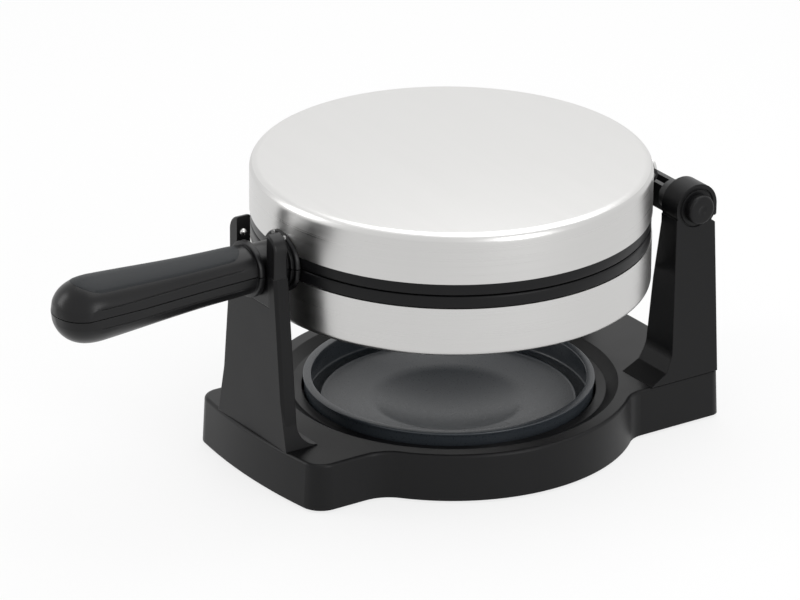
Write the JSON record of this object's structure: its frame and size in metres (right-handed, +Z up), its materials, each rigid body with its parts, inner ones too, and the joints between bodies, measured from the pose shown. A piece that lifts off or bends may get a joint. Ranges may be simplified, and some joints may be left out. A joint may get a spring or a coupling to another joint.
{
  "type": "rotating waffle maker",
  "caption": "Round steel waffle maker with a long handle, held in a stand so that its closed head turns over, opens and tilts; drip tray below.",
  "frame": {"origin": "on the floor, in the plane of the feet, below the middle of the round cooking head", "axes": "+Z up, -Y towards the handle, +Y towards the rear hinge, X across, along the hinge pins"},
  "size_m": [0.22, 0.3882, 0.159],
  "materials": {
    "black_plastic": "satin black moulding",
    "cradle_plastic": "satin black slippery nylon",
    "handle_plastic": "semi-gloss black phenolic",
    "soft_grip": "matt grey-black soft insert",
    "steel_skin": "straight brushed, satin",
    "tray_enamel": "satin dark non-stick coating",
    "grid_coating": "dark non-stick coating on cast plate",
    "yoke_metal": "satin black coating on a casting",
    "zinc_steel": "plain bright steel",
    "screw_steel": "plain steel",
    "bronze": "sintered bronze",
    "heater_sheath": "dull steel tube",
    "shield_sheet": "bright sheet",
    "switch_body": "pale ceramic",
    "foot_rubber": "matt"
  },
  "bodies": {
    "base": {"base_housing": "black_plastic", "base_bottom_plate": "black_plastic", "rubber_feet": "foot_rubber", "base_screws": "screw_steel", "tower_screws": "screw_steel", "front_upright": "black_plastic", "cradle": "cradle_plastic", "rear_post_left": "black_plastic", "rear_post_right": "black_plastic", "pivot_cap_left": "black_plastic", "pivot_cap_right": "black_plastic", "pivot_pins": "zinc_steel"},
    "tray": {"drip_tray": "tray_enamel"},
    "ball_left": {"detent_ball_left": "zinc_steel", "detent_spring_left": "screw_steel"},
    "ball_right": {"detent_ball_right": "zinc_steel", "detent_spring_right": "screw_steel"},
    "yoke": {"rear_yoke": "yoke_metal", "bearing_bush": "bronze"},
    "head": {"turning_shaft": "zinc_steel", "hinge_bracket": "yoke_metal", "bracket_screws": "screw_steel", "lid_hinge_pin": "zinc_steel", "lower_shell": "steel_skin", "lower_rim": "black_plastic", "lower_grid": "grid_coating", "lower_heating_element": "heater_sheath", "lower_heat_shield": "shield_sheet", "lower_shield_screws": "screw_steel", "lower_thermostat": "switch_body", "lower_escutcheon": "handle_plastic", "lower_neck_sleeve": "cradle_plastic", "handle_lower_half": "handle_plastic", "lower_handle_strap": "zinc_steel", "lower_handle_screws": "screw_steel"},
    "lid": {"lid_hinge_leaf": "yoke_metal", "leaf_screws": "screw_steel", "upper_shell": "steel_skin", "upper_rim": "black_plastic", "upper_grid": "grid_coating", "upper_heating_element": "heater_sheath", "upper_heat_shield": "shield_sheet", "upper_shield_screws": "screw_steel", "upper_thermostat": "switch_body", "upper_escutcheon": "handle_plastic", "upper_neck_sleeve": "cradle_plastic", "handle_upper_half": "handle_plastic", "grip_inlay": "soft_grip", "upper_handle_strap": "zinc_steel", "upper_handle_screws": "screw_steel"}
  },
  "joints": [
    {"name": "head_tilt", "type": "hinge", "parent": "base", "child": "yoke", "pos_m": [0, 0.1135, 0.129], "axis": [-1, 0, 0], "range_deg": [0, 85]},
    {"name": "head_turn_over", "type": "hinge", "parent": "yoke", "child": "head", "pos_m": [0, 0.1256, 0.124], "axis": [0, 1, 0], "range_deg": [0, 180]},
    {"name": "lid_open", "type": "hinge", "parent": "head", "child": "lid", "pos_m": [0, 0.115, 0.1325], "axis": [1, 0, 0], "range_deg": [-95, 0]},
    {"name": "tray_lift", "type": "slide", "parent": "base", "child": "tray", "axis": [0, 0, 1], "range_m": [0, 0.04]},
    {"name": "catch_left", "type": "slide", "parent": "base", "child": "ball_left", "axis": [-1, 0, 0], "range_m": [0, 0.001], "stiffness_N_per_m": 400},
    {"name": "catch_right", "type": "slide", "parent": "base", "child": "ball_right", "axis": [1, 0, 0], "range_m": [0, 0.001], "stiffness_N_per_m": 400}
  ]
}
